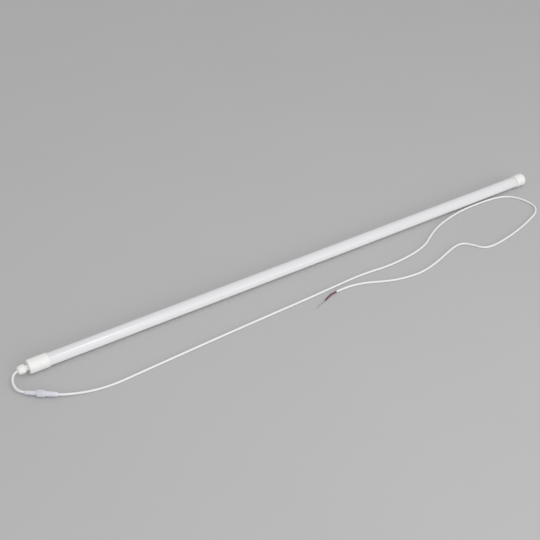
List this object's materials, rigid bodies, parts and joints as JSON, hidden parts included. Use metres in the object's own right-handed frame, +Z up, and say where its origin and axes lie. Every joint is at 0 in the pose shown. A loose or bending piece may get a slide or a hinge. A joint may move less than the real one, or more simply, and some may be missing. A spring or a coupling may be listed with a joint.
{
  "type": "linear tube lamp",
  "caption": "Sealed opal tube lamp with moulded end caps, a cable gland at one end, a screwed in-line connector and a long white supply lead with bare conductor ends.",
  "frame": {"origin": "on the floor, under the lamp's axis, in the middle between the gland nut's front and the closed end", "axes": "+X along the lamp from the gland to the closed end, +Y away from the side the lead lies on, +Z up from the floor it rests on; the light shines towards -Z"},
  "size_m": [1.285, 0.1741, 0.0284],
  "materials": {
    "opal_tube": "satin opal extrusion",
    "cap_plastic": "smooth moulding",
    "gland_nylon": "moulded nylon",
    "seal_rubber": "soft silicone",
    "rail_aluminium": "extruded, clear anodised",
    "board_white": "white solder mask",
    "chip_yellow": "phosphor under clear resin",
    "resistor_black": "ceramic chip",
    "cord_sheath": "soft extruded sheath",
    "connector_plastic": "slightly translucent moulding",
    "contact_brass": "turned",
    "red_insulation": "extruded insulation",
    "black_insulation": "extruded insulation",
    "tinned_copper": "tinned strands"
  },
  "bodies": {
    "root": {"diffuser_tube": "opal_tube", "gland_end_cap": "cap_plastic", "closed_end_cap": "cap_plastic", "gland_nut": "gland_nylon", "gland_seal": "seal_rubber", "gland_end_gasket": "seal_rubber", "closed_end_gasket": "seal_rubber", "heat_sink_rail": "rail_aluminium", "led_board": "board_white", "led_chips": "chip_yellow", "string_resistors": "resistor_black", "red_feed_wire": "red_insulation", "black_feed_wire": "black_insulation", "pigtail_cord": "cord_sheath", "plug_body": "connector_plastic", "plug_pins": "contact_brass", "socket_body": "connector_plastic", "socket_contacts": "contact_brass", "coupling_nut": "connector_plastic", "connector_o_ring": "seal_rubber", "supply_cord": "cord_sheath", "red_conductor": "red_insulation", "black_conductor": "black_insulation", "red_tinned_end": "tinned_copper", "black_tinned_end": "tinned_copper"}
  },
  "joints": []
}
